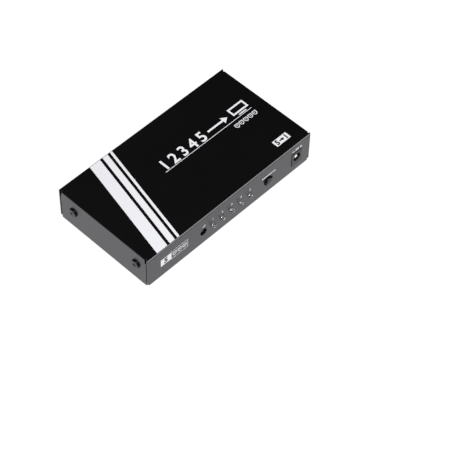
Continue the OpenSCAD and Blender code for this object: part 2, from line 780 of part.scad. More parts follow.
module ir_receiver() {
    block_z = board_top + ir_lift;
    color(BLACK_PLASTIC) {
        translate([ir_x, ir_block_y, row_z]) rotate([90, 0, 0]) rotate_extrude() intersection() {
            circle(d = ir_dome_d);
            square(ir_dome_d);
        }
        translate([ir_x - ir_w / 2, ir_block_y, block_z]) cube([ir_w, ir_l, row_z + ir_top - block_z]);
    }
}

module ir_legs() {
    color(NICKEL) for (i = [-1 : 1])
        translate([ir_x + i * ir_leg_pitch, ir_leg_y, 0]) straight_leg(board_top + ir_lift);
}

// A chip's plain body, standing on the board
module chip_body(at, l, w, h) {
    translate([at[0] - l / 2, at[1] - w / 2, board_top]) cube([l, w, h]);
}

// A row of bent leads along one side of a chip, the chip's side at X = 0
module lead_row(count, pitch, h) {
    lead_z = board_top + h / 2;
    for (i = [0 : count - 1]) translate([0, (i - (count - 1) / 2) * pitch - lead_w / 2, 0]) {
        translate([0, 0, lead_z]) cube([lead_reach / 2, lead_w, lead_t]);
        translate([lead_reach / 2 - lead_t, 0, board_top]) {
            cube([lead_t, lead_w, lead_z + lead_t - board_top]);
            cube([lead_reach / 2 + lead_t, lead_w, lead_t]);
        }
    }
}

module video_chip() {
    color(BLACK_PLASTIC) chip_body(video_chip_at, video_chip_w, video_chip_w, video_chip_h);
}

module controller_chip() {
    color(BLACK_PLASTIC) chip_body(controller_at, controller_l, controller_w, controller_h);
}

module voltage_regulator() {
    color(BLACK_PLASTIC) chip_body(regulator_at, regulator_l, regulator_w, regulator_h);
}

module chip_leads() {
    color(NICKEL) {
        for (turn = [0 : 90 : 270]) translate(video_chip_at) rotate(turn)
            translate([video_chip_w / 2, 0, 0]) lead_row(video_chip_leads, lead_pitch, video_chip_h);
        for (turn = [-90, 90]) {
            translate(controller_at) rotate(turn) translate([controller_w / 2, 0, 0])
                lead_row(controller_leads, lead_pitch, controller_h);
        }
        translate(regulator_at) rotate(-90) translate([regulator_w / 2, 0, 0])
            lead_row(regulator_leads, regulator_pitch, regulator_h);
    }
}

// Repeats its children at the two filter capacitors
module at_capacitors() {
    for (i = [0, 1])
        translate([capacitor_at[0] - i * capacitor_pitch, capacitor_at[1], board_top]) children();
}

module filter_capacitors() {
    color(ALUMINIUM) at_capacitors() translate([0, 0, capacitor_base_t])
        cylinder(d = capacitor_d, h = capacitor_h);
}

module capacitor_bases() {
    color(BLACK_PLASTIC) at_capacitors() translate([-capacitor_base_w / 2, -capacitor_base_w / 2, 0])
        cube([capacitor_base_w, capacitor_base_w, capacitor_base_t]);
}

module crystal_can() {
    straight = crystal_l - crystal_w;
    color(NICKEL) translate([crystal_at[0], crystal_at[1], board_top]) linear_extrude(crystal_h) {
        square([straight, crystal_w], center = true);
        for (side = ENDS) translate([side * straight / 2, 0]) circle(d = crystal_w);
    }
}

module surge_arrays() {
    color(BLACK_PLASTIC) for (x = port_xs, side = ENDS)
        chip_body([x + side * array_pitch / 2, array_y], array_l, array_w, array_h);
}

standing() top_cover();
standing() base_tray();
standing() end_screws();
standing() rubber_feet();
standing() board_standoffs();
standing() circuit_board();
standing() board_screws();
for (i = [0 : len(PORTS) - 1]) {
    standing() port_shell(port_xs[i]);
    standing() port_tongue(port_xs[i]);
    standing() port_contacts(port_xs[i]);
}
standing() dc_jack_housing();
standing() dc_jack_pin();
standing() dc_jack_leaf();
standing() button_cap();
standing() switch_plunger();
standing() switch_body();
standing() switch_back();
standing() switch_pins();
for (i = [0 : len(LEDS) - 1]) {
    standing() lamp(led_xs[i]);
}
standing() led_legs();
standing() ir_receiver();
standing() ir_legs();
standing() video_chip();
standing() controller_chip();
standing() voltage_regulator();
standing() chip_leads();
standing() filter_capacitors();
standing() capacitor_bases();
standing() crystal_can();
standing() surge_arrays();
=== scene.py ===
# %% [markdown]
# # A video switch box, dressed from its solids
# The box is two folded sheets of steel round one circuit board. Six video sockets open at the rear, and
# the front has a receiver window, five lamps, a push button and a power inlet. The solids are packed and
# stay where they are. This file gives them finer edges, small fittings, prints and finishes.

# %% Load the solids
import math

import bmesh
import bpy
from mathutils import Matrix, Vector


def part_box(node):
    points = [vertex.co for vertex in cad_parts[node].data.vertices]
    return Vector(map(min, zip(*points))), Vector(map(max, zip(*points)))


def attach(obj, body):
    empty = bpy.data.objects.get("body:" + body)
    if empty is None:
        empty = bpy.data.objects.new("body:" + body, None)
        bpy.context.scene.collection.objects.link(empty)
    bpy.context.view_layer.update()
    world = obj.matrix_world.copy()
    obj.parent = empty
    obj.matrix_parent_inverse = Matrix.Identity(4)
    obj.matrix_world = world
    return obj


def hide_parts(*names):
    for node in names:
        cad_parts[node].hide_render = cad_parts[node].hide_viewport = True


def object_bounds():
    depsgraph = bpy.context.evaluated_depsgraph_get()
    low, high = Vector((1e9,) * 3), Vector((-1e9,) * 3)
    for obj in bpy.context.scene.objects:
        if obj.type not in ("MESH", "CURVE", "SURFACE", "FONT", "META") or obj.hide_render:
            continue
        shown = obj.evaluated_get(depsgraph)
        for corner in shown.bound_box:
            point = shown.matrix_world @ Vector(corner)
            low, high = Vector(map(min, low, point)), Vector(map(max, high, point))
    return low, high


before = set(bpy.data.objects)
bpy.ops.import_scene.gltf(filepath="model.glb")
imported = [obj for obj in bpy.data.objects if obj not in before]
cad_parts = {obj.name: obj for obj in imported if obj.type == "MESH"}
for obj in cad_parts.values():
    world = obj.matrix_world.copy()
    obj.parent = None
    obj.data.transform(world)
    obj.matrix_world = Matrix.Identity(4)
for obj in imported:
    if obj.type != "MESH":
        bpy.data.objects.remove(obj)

cad_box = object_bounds()
scene = bpy.context.scene
MM = 0.001
INPUTS = 5
size_mm = [round((b - a) / MM, 1) for a, b in zip(*cad_box)]
print(len(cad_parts), "solids in a box of", size_mm, "mm")

# %% [markdown]
# ## The camera
# The picture was taken from the front left and from well above, through a long lens, so the box's edges
# are nearly parallel. A camera can be aimed by eye, but the edges of a box of known proportions give its
# place exactly. The numbers below are that place, measured along the camera's own three directions from
# the middle of the casing's underside. The picture is also turned by about a degree and a half.

# %% Camera
AZIMUTH, ELEVATION, ROLL = math.radians(-46.962), math.radians(52.030), math.radians(1.528)
EYE_RIGHT, EYE_UP, EYE_BACK = 24.697 * MM, -24.428 * MM, 1052.798 * MM
LENS, SENSOR = 133.657, 36.0
NEAREST = 0.01

level = Vector((math.cos(AZIMUTH), math.sin(AZIMUTH), 0))
view_back = Vector((
    math.sin(AZIMUTH) * math.cos(ELEVATION),
    -math.cos(AZIMUTH) * math.cos(ELEVATION),
    math.sin(ELEVATION),
))
upright = view_back.cross(level)
view_right = math.cos(ROLL) * level + math.sin(ROLL) * upright
view_up = math.cos(ROLL) * upright - math.sin(ROLL) * level
underside = Vector((0, 0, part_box("base_tray")[0].z))
eye = underside + EYE_RIGHT * view_right + EYE_UP * view_up + EYE_BACK * view_back

camera = bpy.data.objects.new("camera", bpy.data.cameras.new("camera"))
camera.data.lens = LENS
camera.data.sensor_width = SENSOR
camera.data.clip_start = NEAREST
axes = Matrix((view_right, view_up, view_back)).transposed().to_4x4()
camera.matrix_world = Matrix.Translation(eye) @ axes
scene.collection.objects.link(camera)
scene.camera = camera
print("camera at", [round(value, 3) for value in eye])

# %% [markdown]
# ## Nodes for finishes
# Blender's finishes are graphs of nodes. They can be built by hand in the editor, and a script does the
# same: it adds a node, sets it and joins its sockets. Two small functions do all of that here. Colours
# are written as they look on a screen, so they are turned to the linear light that the shader wants.
# Patterns read Object coordinates, which are metres on the piece, and so a scale comes from a real size.

# %% Helpers for finishes
def wire(node, inputs):
    """Fills a node's inputs: a value is set on its socket, another node's output is linked to it."""
    for socket, value in inputs.items():
        if isinstance(value, bpy.types.NodeSocket):
            node.id_data.links.new(value, node.inputs[socket])
        else:
            node.inputs[socket].default_value = value
    return node


def add(tree, kind, inputs=None, **settings):
    """Adds one shader node with its settings, and wires its inputs."""
    node = tree.nodes.new("ShaderNode" + kind)
    for name, value in settings.items():
        setattr(node, name, value)
    return wire(node, inputs or {})


def srgb(code):
    """A colour written as #rrggbb, as linear red, green, blue and alpha."""
    channels = [int(code[i:i + 2], 16) / 255 for i in (1, 3, 5)]
    return [c / 12.92 if c <= 0.04045 else ((c + 0.055) / 1.055) ** 2.4 for c in channels] + [1.0]


def per_mm(size):
    """The texture scale at which one feature of a pattern is that many millimetres wide."""
    return 1 / (size * MM)


def new_finish(name, **constants):
    """A material with constants on its shader, its node tree, shader and Object coordinates."""
    made = bpy.data.materials.new(name)
    made.use_nodes = True
    shader = made.node_tree.nodes["Principled BSDF"]
    wire(shader, {name.replace("_", " "): value for name, value in constants.items()})
    where = add(made.node_tree, "TexCoord").outputs["Object"]
    return made, made.node_tree, shader, where


# %% [markdown]
# ## Studio
# A shop picture has a white table, a few soft lamps and a dark room behind the camera. The table is a
# plain sheet that also shines white to the camera and to mirror-like rays, so the background is white
# without more light on the box, and the shiny upright faces of the casing mirror it. Part of its white
# is ordinary paint, which keeps the box's soft shadow. The room is dim for every ray but the camera's.

# %% Table and room
FLOOR_SIZE = 6.0
FLOOR_PAINT = srgb("#707070")
FLOOR_GLOW = 0.92
ROOM_WHITE, ROOM_DIM = srgb("#ffffff"), srgb("#1c1c1e")

floor_finish = bpy.data.materials.new("white_table")
floor_finish.use_nodes = True
floor_finish.cycles.emission_sampling = "NONE"
tree = floor_finish.node_tree
tree.nodes.clear()
path = add(tree, "LightPath")
seen = path.outputs["Is Camera Ray"]
for ray in ("Is Glossy Ray", "Is Transmission Ray"):
    seen = add(tree, "Math", {0: seen, 1: path.outputs[ray]}, operation="MAXIMUM").outputs[0]
glow = add(tree, "Math", {0: seen, 1: FLOOR_GLOW}, operation="MULTIPLY")
paint = add(tree, "BsdfDiffuse", {"Color": FLOOR_PAINT})
shine = add(tree, "Emission", {"Strength": glow.outputs[0]})
both = add(tree, "AddShader", {0: paint.outputs[0], 1: shine.outputs[0]})
add(tree, "OutputMaterial", {"Surface": both.outputs[0]})

bm = bmesh.new()
bmesh.ops.create_grid(bm, x_segments=1, y_segments=1, size=FLOOR_SIZE / 2)
floor_mesh = bpy.data.meshes.new("floor")
bm.to_mesh(floor_mesh)
bm.free()
floor_mesh.materials.append(floor_finish)
floor = bpy.data.objects.new("floor", floor_mesh)
scene.collection.objects.link(floor)

world = bpy.data.worlds.new("room")
world.use_nodes = True
tree = world.node_tree
tree.nodes.clear()
path = add(tree, "LightPath")
seen = path.outputs["Is Camera Ray"]
room = add(tree, "Mix", {0: seen, 6: ROOM_DIM, 7: ROOM_WHITE}, data_type="RGBA")
sky = add(tree, "Background", {"Color": room.outputs[2]})
add(tree, "OutputWorld", {"Surface": sky.outputs[0]})
scene.world = world
scene.view_settings.view_transform = "Standard"
print("floor", FLOOR_SIZE, "m across")

# %% [markdown]
# Lamps are placed by the direction that they shine from, so they are easy to think about. The key stands
# high on the camera's side and lights the top and the left end. The fill stands lower before the front,
# and lights the prints there. The rear lamp is weak and low, for the sockets. Nothing bright stands
# where the top would mirror it to the camera.

# %% Lamps
def lamp(name, azimuth, elevation, distance, size, watts):
    """A square soft lamp that shines at the box from a direction, in degrees from the front."""
    turn, tilt = math.radians(azimuth), math.radians(elevation)
    toward = Vector((math.sin(turn) * math.cos(tilt), -math.cos(turn) * math.cos(tilt), math.sin(tilt)))
    light = bpy.data.lights.new(name, "AREA")
    light.size = size
    light.energy = watts
    made = bpy.data.objects.new(name, light)
    aim = toward.to_track_quat("Z", "Y").to_matrix().to_4x4()
    made.matrix_world = Matrix.Translation(toward * distance) @ aim
    scene.collection.objects.link(made)
    print(name, "at", [round(value, 2) for value in made.location])


lamp("key_lamp", azimuth=-50, elevation=62, distance=1.3, size=0.72, watts=11)
lamp("fill_lamp", azimuth=15, elevation=30, distance=1.4, size=0.7, watts=16)
lamp("rear_lamp", azimuth=170, elevation=16, distance=1.4, size=0.6, watts=3)

# %% [markdown]
# ## Casing paint
# The steel is sprayed with a semi-gloss black enamel and baked. It is nearly black from above, but its
# clear skin mirrors the white table in the upright faces, which then look grey: that is the shader's own
# reflection at a flat angle. Spraying leaves a faint orange peel about a millimetre across. A bright line
# runs along the cover's front edge. Here it is a painted highlight: a narrow strip of lighter colour
# along the top of each lip, found by its height and its depth, which stands in for light that the edge
# catches.

# %% Black enamel
PEEL, PEEL_DEPTH, CLOUD = 1.1, 0.012, 24
LIP_STRIP, LIP_FADE = 0.7, 0.1
# The second colour is a painted highlight, not a thinner coat of paint: it lightens the top strip of each
# lip.
FULL_PAINT, PAINTED_LIP_HIGHLIGHT = srgb("#0b0b0b"), srgb("#7c7c7e")
lip_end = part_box("top_cover")[1]

enamel, tree, shader, where = new_finish("baked_black_enamel", IOR=1.6, Specular_Tint=srgb("#f2f0ff"))
apart = add(tree, "SeparateXYZ", {0: where})
depth = add(tree, "Math", {0: apart.outputs["Y"]}, operation="ABSOLUTE").outputs[0]
# Mask of the painted highlight: 1 in the top strip of each lip at the front and rear, fading to 0 below
# and inward.
thin_ink_and_highlight = 1.0
for value, full in ((apart.outputs["Z"], lip_end.z - LIP_STRIP * MM), (depth, lip_end.y)):
    fade = add(tree, "MapRange", {"Value": value, "From Min": full - LIP_FADE * MM, "From Max": full})
    thin_ink_and_highlight = add(tree, "Math", {0: thin_ink_and_highlight, 1: fade.outputs[0]}, operation="MULTIPLY").outputs[0]
paint = add(tree, "Mix", {0: thin_ink_and_highlight, 6: FULL_PAINT, 7: PAINTED_LIP_HIGHLIGHT}, data_type="RGBA")
wire(shader, {"Base Color": paint.outputs[2]})
peel = add(tree, "TexNoise", {"Vector": where, "Scale": per_mm(PEEL), "Detail": 2.0})
clouds = add(tree, "TexNoise", {"Vector": where, "Scale": per_mm(CLOUD), "Detail": 3.0})
gloss = add(tree, "MapRange", {"Value": clouds.outputs["Fac"], "To Min": 0.24, "To Max": 0.32})
bump = add(tree, "Bump", {"Height": peel.outputs["Fac"], "Strength": 0.5, "Distance": PEEL_DEPTH * MM})
wire(shader, {"Roughness": gloss.outputs[0], "Normal": bump.outputs[0]})
print(enamel.name)

# %% [markdown]
# ## Screen-print inks
# White ink is pushed through a fine mesh onto the paint. It lies as a dull film about 0.02 mm thick, and
# its cover varies a little. The mesh is far too fine to see, so it is drawn as a speckle of 0.4 mm.

# %% Inks
SPECKLE = 0.4


def ink_finish(name, thin_ink_and_highlight, full):
    """A dull film of ink whose cover varies between two colours."""
    made, tree, shader, where = new_finish(name, IOR=1.48)
    speckle = add(tree, "TexNoise", {"Vector": where, "Scale": per_mm(SPECKLE), "Detail": 3.0})
    cover = add(tree, "MapRange", {"Value": speckle.outputs["Fac"], "From Min": 0.3, "From Max": 0.6})
    colour = add(tree, "Mix", {0: cover.outputs[0], 6: srgb(thin_ink_and_highlight), 7: srgb(full)}, data_type="RGBA")
    dull = add(tree, "MapRange", {"Value": speckle.outputs["Fac"], "To Min": 0.42, "To Max": 0.58})
    wire(shader, {"Base Color": colour.outputs[2], "Roughness": dull.outputs[0]})
    print(made.name)
    return made


white_ink = ink_finish("white_screen_ink", "#ecedf2", "#f6f6fa")
black_ink = ink_finish("black_screen_ink", "#101011", "#171718")

# %% [markdown]
# ## Metals
# A metal's colour is the colour of its reflection. The socket shells are stamped strip, plated with
# nickel, and keep the fine lines of the rolling mill along their length. The inlet's pin is whiter, and
# dull enough to catch light from all round. Contacts have a flash of gold, legs are dipped in tin, and
# the capacitor cans are drawn aluminium. All are one recipe, with lines or grains of each one's own size.

# %% Metals
MARK_DEPTH = 0.004


def metal_finish(name, dark, bright, smooth, dull, grain):
    """A plated or drawn metal. grain is the size in mm of its marks along X, Y and Z."""
    made, tree, shader, where = new_finish(name, Metallic=1.0)
    stretch = add(tree, "Mapping", {"Vector": where, "Scale": [per_mm(size) for size in grain]})
    marks = add(tree, "TexNoise", {"Vector": stretch.outputs[0], "Scale": 1.0, "Detail": 3.0})
    height = marks.outputs["Fac"]
    colour = add(tree, "Mix", {0: height, 6: srgb(dark), 7: srgb(bright)}, data_type="RGBA")
    gloss = add(tree, "MapRange", {"Value": height, "To Min": smooth, "To Max": dull})
    bump = add(tree, "Bump", {"Height": height, "Strength": 0.3, "Distance": MARK_DEPTH * MM})
    wire(shader, {"Base Color": colour.outputs[2], "Roughness": gloss.outputs[0]})
    wire(shader, {"Normal": bump.outputs[0]})
    print(made.name)
    return made


nickel = metal_finish("nickel_plated_strip", "#b9b5ab", "#d6d3cb", 0.16, 0.30, (0.25, 6.0, 0.25))
gold = metal_finish("gold_flash", "#cf9f45", "#e8c377", 0.14, 0.26, (0.2, 3.0, 0.2))
bright_nickel = metal_finish("bright_nickel_pin", "#ececea", "#f8f8f7", 0.34, 0.46, (0.4, 3.0, 0.4))
tin = metal_finish("tinned_wire", "#b4b5b4", "#d2d3d2", 0.26, 0.42, (0.4, 0.4, 0.4))
drawn_can = metal_finish("drawn_aluminium", "#b3b6b9", "#d0d2d4", 0.20, 0.34, (0.3, 0.3, 5.0))

# %% [markdown]
# ## Plastics, rubber, epoxy and black oxide
# Moulded parts copy the skin of their tool. The socket tongues and the power inlet come from a
# spark-eroded tool, which leaves a fine even grain, and the button from a smoother one. The feet are a
# dull rubber. Chips are cast in a filled epoxy, and the receiver in one that only infrared passes. The
# screws are blackened steel: the oxide is an opaque skin, which shines like a glaze and not like a metal.

# %% Skins
def skin_finish(name, colour, smooth, dull, grain, depth, index=1.5):
    """A plain skin: grain is the size of its texture and depth its height, both in mm."""
    made, tree, shader, where = new_finish(name, Base_Color=srgb(colour), IOR=index)
    skin = add(tree, "TexNoise", {
        "Vector": where, "Scale": per_mm(grain), "Detail": 4.0, "Roughness": 0.6})
    gloss = add(tree, "MapRange", {"Value": skin.outputs["Fac"], "To Min": smooth, "To Max": dull})
    bump = add(tree, "Bump", {"Height": skin.outputs["Fac"], "Strength": 0.6, "Distance": depth * MM})
    wire(shader, {"Roughness": gloss.outputs[0], "Normal": bump.outputs[0]})
    print(made.name)
    return made


tool_black = skin_finish("spark_grain_black_plastic", "#121213", 0.36, 0.52, 0.35, 0.010)
button_black = skin_finish("smooth_black_abs", "#08080a", 0.34, 0.44, 0.5, 0.006, index=1.52)
foot_rubber = skin_finish("black_foot_rubber", "#1d1d1e", 0.72, 0.9, 0.5, 0.03, index=1.52)
chip_epoxy = skin_finish("filled_chip_epoxy", "#1b1b1d", 0.5, 0.7, 0.25, 0.012, index=1.55)
dark_epoxy = skin_finish("infrared_dark_epoxy", "#030203", 0.2, 0.3, 0.8, 0.002, index=1.25)
black_oxide = skin_finish("black_oxide_steel", "#0c0c0d", 0.26, 0.4, 0.5, 0.008, index=1.55)

# %% [markdown]
# The lamps are cast in clear epoxy. It refracts like glass, and a faint haze keeps it from looking like
# a bubble. The lead frame inside it is modelled, since that is what one sees through the dome.

# %% Clear epoxy
HAZE = 0.6

clear_epoxy, tree, shader, where = new_finish(
    "clear_lamp_epoxy", Base_Color=srgb("#f3f6f7"), IOR=1.54, Transmission_Weight=0.92)
haze = add(tree, "TexNoise", {"Vector": where, "Scale": per_mm(HAZE), "Detail": 2.0})
gloss = add(tree, "MapRange", {"Value": haze.outputs["Fac"], "To Min": 0.12, "To Max": 0.2})
wire(shader, {"Roughness": gloss.outputs[0]})
print(clear_epoxy.name)

# %% [markdown]
# ## Circuit board
# The board is glass-fibre laminate under dark green solder mask. Copper tracks raise the mask a little
# and show through it as a lighter green. Bricks, wider than real tracks, stand for them here, because
# the board shows only through narrow gaps.

# %% Solder mask
TRACK_L, TRACK_W, TRACK_GAP, TRACK_DEPTH, FIBRE = 7.0, 1.2, 0.25, 0.03, 0.9

solder_mask, tree, shader, where = new_finish("green_solder_mask", IOR=1.55)
tracks = add(tree, "TexBrick", {
    "Vector": where, "Scale": 1.0,
    "Brick Width": TRACK_L * MM, "Row Height": TRACK_W * MM, "Mortar Size": TRACK_GAP * MM,
    "Color1": srgb("#0b2a1c"), "Color2": srgb("#0d3121"), "Mortar": srgb("#081f15")})
fibre = add(tree, "TexNoise", {"Vector": where, "Scale": per_mm(FIBRE), "Detail": 2.0})
gloss = add(tree, "MapRange", {"Value": fibre.outputs["Fac"], "To Min": 0.26, "To Max": 0.4})
bump = add(tree, "Bump", {
    "Height": tracks.outputs["Fac"], "Strength": 0.5, "Distance": -TRACK_DEPTH * MM})
wire(shader, {"Base Color": tracks.outputs["Color"], "Roughness": gloss.outputs[0]})
wire(shader, {"Normal": bump.outputs[0]})
print(solder_mask.name)

# %% [markdown]
# ## Making pieces
# Three helpers make every piece. A copied solid has its loose triangles merged and its flat faces joined
# again, so its true edges can be rounded by a bevel. A turned piece starts as a profile and is spun, as
# on a lathe. A finished piece gets smooth shading, normals weighted by face so that flat faces stay
# flat, its finish, the body that it rides on and the solids that it stands for.

# %% Helpers for pieces
MERGE = 0.001 * MM
FLAT, SHARP = math.radians(0.5), math.radians(35)


def copied(node):
    """A solid's mesh with its triangles merged and its flat faces joined."""
    bm = bmesh.new()
    bm.from_mesh(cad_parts[node].data)
    bmesh.ops.remove_doubles(bm, verts=bm.verts, dist=MERGE)
    bmesh.ops.dissolve_limit(bm, angle_limit=FLAT, verts=bm.verts, edges=bm.edges)
    return bm


def round_edges(bm, radius, segments=3, chosen=lambda edge: True):
    """Rounds the sharp edges that are chosen, by a radius in mm."""
    sharp = [
        edge for edge in bm.edges
        if len(edge.link_faces) == 2 and edge.calc_face_angle() > SHARP and chosen(edge)
    ]
    bmesh.ops.bevel(
        bm, geom=sharp, offset=radius * MM, segments=segments, profile=0.5, affect="EDGES",
        clamp_overlap=True, material=-1)


def arc(middle, radius, start, end, steps=8):
    """Points of an arc round (a, b), from one angle to another in degrees."""
    turns = [math.radians(start + (end - start) * i / steps) for i in range(steps + 1)]
    return [(middle[0] + radius * math.cos(t), middle[1] + radius * math.sin(t)) for t in turns]


def turned(profile, steps=48):
    """A profile of (radius, height) points in mm, turned once round Z."""
    bm = bmesh.new()
    points = [bm.verts.new((radius * MM, 0, height * MM)) for radius, height in profile]
    lines = [bm.edges.new(pair) for pair in zip(points, points[1:])]
    bmesh.ops.spin(
        bm, geom=points + lines, cent=(0, 0, 0), axis=(0, 0, 1), angle=math.tau, steps=steps,
        use_merge=True)
    bmesh.ops.remove_doubles(bm, verts=bm.verts, dist=MERGE)
    bmesh.ops.recalc_face_normals(bm, faces=bm.faces)
    return bm


def place(bm, at, toward=(0, 0, 1), turn=0.0):
    """Turns a bmesh about Z by degrees, points its Z the given way and moves it there."""
    aim = Vector((0, 0, 1)).rotation_difference(Vector(toward)).to_matrix().to_4x4()
    spin = Matrix.Rotation(math.radians(turn), 4, "Z")
    bmesh.ops.transform(bm, matrix=Matrix.Translation(at) @ aim @ spin, verts=bm.verts)


def piece(name, bm, finish, stands_for=(), body="casing"):
    """Makes a bmesh a finished piece."""
    mesh = bpy.data.meshes.new(name)
    bm.to_mesh(mesh)
    bm.free()
    mesh.materials.append(finish)
    mesh.shade_smooth()
    mesh.set_sharp_from_angle(angle=SHARP)
    made = bpy.data.objects.new(name, mesh)
    scene.collection.objects.link(made)
    weighted = made.modifiers.new("weighted_normals", "WEIGHTED_NORMAL")
    weighted.keep_sharp = True
    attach(made, body)
    if stands_for:
        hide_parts(*stands_for)
    print(f"{name}: {len(mesh.polygons)} faces")
    return made


# %% [markdown]
# ## Casing
# Cover and tray are cut, folded and painted sheets. Paint rounds a cut edge, which keeps it from looking
# razor sharp. A copy of each solid with its edges bevelled gives just that, with every hole where it is.

# %% Cover and tray
PAINTED_EDGE = 0.1

for node, name in (("top_cover", "cover_sheet"), ("base_tray", "tray_sheet")):
    bm = copied(node)
    round_edges(bm, PAINTED_EDGE)
    piece(name, bm, enamel, [node])

# %% [markdown]
# ## End screws
# Four pan head screws hold the cover. The head can be turned, but the cross recess can't: its outline
# is drawn on the crown, the crown is filled round it, and the outline is extruded down to a smaller
# cross, as the punch tapers. Every screw stopped at another angle.

# %% End screws
HEAD_D, HEAD_H, HEAD_EDGE = 6.4, 1.3, 0.4
SHANK_D, SHANK_L, SHANK_TIP = 2.9, 5.0, 0.5
CROSS_L, CROSS_W, CROSS_DEPTH, CROSS_TAPER = 3.4, 0.8, 0.9, 0.55
SCREW_EDGE = 0.06
STOPPED_AT = (24, 61, 12, 78)


def cross_screw():
    """A pan head screw along Z, the underside of its head at the origin."""
    crown_r = HEAD_D / 2 - HEAD_EDGE
    shank_r = SHANK_D / 2
    rim = arc((crown_r, HEAD_H - HEAD_EDGE), HEAD_EDGE, 90, 0)
    tip_r = shank_r - SHANK_TIP
    shank = [(shank_r, 0), (shank_r, SHANK_TIP - SHANK_L), (tip_r, -SHANK_L), (0, -SHANK_L)]
    bm = turned(rim + [(HEAD_D / 2, 0)] + shank)
    crown = [edge for edge in bm.edges if edge.is_boundary]
    quarter = [(CROSS_L / 2, -CROSS_W / 2), (CROSS_L / 2, CROSS_W / 2), (CROSS_W / 2, CROSS_W / 2)]
    outline = []
    for turn in range(4):
        spin = Matrix.Rotation(turn * math.pi / 2, 2)
        outline += [bm.verts.new((*(spin @ Vector(point) * MM), HEAD_H * MM)) for point in quarter]
    cross = [bm.edges.new(pair) for pair in zip(outline, outline[1:] + outline[:1])]
    walls = bmesh.ops.extrude_edge_only(bm, edges=cross)["geom"]
    floor_verts = [item for item in walls if isinstance(item, bmesh.types.BMVert)]
    floor_edges = [item for item in walls if isinstance(item, bmesh.types.BMEdge) and item.is_boundary]
    bmesh.ops.scale(bm, vec=(CROSS_TAPER, CROSS_TAPER, 1), verts=floor_verts)
    bmesh.ops.translate(bm, vec=(0, 0, -CROSS_DEPTH * MM), verts=floor_verts)
    floor_edges = [edge for edge in floor_edges if all(vert in floor_verts for vert in edge.verts)]
    bmesh.ops.contextual_create(bm, geom=floor_edges)
    bmesh.ops.triangle_fill(bm, edges=crown + cross, use_beauty=True, use_dissolve=False)
    bmesh.ops.recalc_face_normals(bm, faces=bm.faces)
    return bm


low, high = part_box("end_screws")
screw_z = (low.z + high.z) / 2
screw_ys = (low.y + HEAD_D / 2 * MM, high.y - HEAD_D / 2 * MM)
rows = list(zip(("front", "rear"), screw_ys))
ends = [(end, row) for end in (("left", -1), ("right", 1)) for row in rows]
for ((end, side), (row, y)), turn in zip(ends, STOPPED_AT):
    bm = cross_screw()
    round_edges(bm, SCREW_EDGE, 2)
    place(bm, (side * (high.x - HEAD_H * MM), y, screw_z), (side, 0, 0), turn)
    piece(f"end_screw_{end}_{row}", bm, black_oxide, ["end_screws"])

# %% [markdown]
# ## Feet
# Four rubber discs are stuck under the tray. A lathe profile gives the soft lower edge and the slight
# hollow underneath, which lets a foot grip.

# %% Feet
FOOT_R, FOOT_EDGE, FOOT_HOLLOW, HOLLOW_R, HOLLOW_SLOPE = 4.5, 0.5, 0.25, 2.6, 0.5

low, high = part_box("rubber_feet")
foot_h = (high.z - low.z) / MM
bm = bmesh.new()
for side in (-1, 1):
    for depth in (-1, 1):
        hollow = [(0, FOOT_HOLLOW), (HOLLOW_R - HOLLOW_SLOPE, FOOT_HOLLOW), (HOLLOW_R, 0)]
        rim = arc((FOOT_R - FOOT_EDGE, FOOT_EDGE), FOOT_EDGE, -90, 0)
        foot = turned(hollow + rim + [(FOOT_R, foot_h), (0, foot_h)])
        place(foot, (side * (high.x - FOOT_R * MM), depth * (high.y - FOOT_R * MM), 0))
        mesh = bpy.data.meshes.new("foot")
        foot.to_mesh(mesh)
        foot.free()
        bm.from_mesh(mesh)
        bpy.data.meshes.remove(mesh)
piece("stick_on_feet", bm, foot_rubber, ["rubber_feet"])

# %% [markdown]
# ## Lamps
# A lamp is a clear dome on a flange, cast round a lead frame. One lead ends in a small cup with the
# die in it, the other in a post beside it. Dome and cup are turned. The dome is left a solid body of
# epoxy, because light has to bend once where it goes in.

# %% Lamps
LENS_R, FLANGE_R, FLANGE_T = 1.5, 1.9, 1.0
CUP_R, CUP_FLOOR_R, CUP_DEPTH, CUP_WALL, CUP_BACK, CONE_L = 0.62, 0.31, 0.32, 0.12, 2.3, 0.96
STEM_R, STEM_FOOT, POST_W, POST_OFF, POST_FOOT, POST_BACK = 0.3, 0.3, 0.4, 0.85, 0.4, 0.2
FORWARD = (0, -1, 0)

for lamp_node in [f"led_{i + 1}" for i in range(INPUTS)]:
    low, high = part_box(lamp_node)
    lamp_l = (high.y - low.y) / MM
    base = Vector(((low.x + high.x) / 2, high.y, (low.z + high.z) / 2))
    flange = [(0, 0), (FLANGE_R, 0), (FLANGE_R, FLANGE_T), (LENS_R, FLANGE_T)]
    dome = turned(flange + arc((0, lamp_l - LENS_R), LENS_R, 0, 90, steps=12))
    place(dome, base, FORWARD)
    piece(f"{lamp_node}_dome", dome, clear_epoxy, [lamp_node])

    cup_top = lamp_l - CUP_BACK
    cup_floor, cup_side = cup_top - CUP_DEPTH, CUP_R + CUP_WALL
    cup = turned([
        (0, cup_floor), (CUP_FLOOR_R, cup_floor), (CUP_R, cup_top), (cup_side, cup_top),
        (cup_side, cup_floor), (STEM_R, cup_top - CONE_L), (STEM_R, STEM_FOOT), (0, STEM_FOOT)], steps=24)
    post_top = cup_top - POST_BACK
    post = bmesh.ops.create_cube(cup, size=POST_W * MM)["verts"]
    bmesh.ops.scale(cup, vec=(1, 1, (post_top - POST_FOOT) / POST_W), verts=post)
    bmesh.ops.translate(cup, vec=(-POST_OFF * MM, 0, (post_top + POST_FOOT) / 2 * MM), verts=post)
    place(cup, base, FORWARD)
    piece(f"{lamp_node}_lead_frame", cup, tin)

# %% [markdown]
# ## Receiver
# The infrared receiver is a black casting with a dome, which looks out of its own hole. Its solid has
# the right form, so a copy with soft edges is enough, and the dome turns smooth by its shading.

# %% Receiver
RECEIVER_EDGE = 0.15

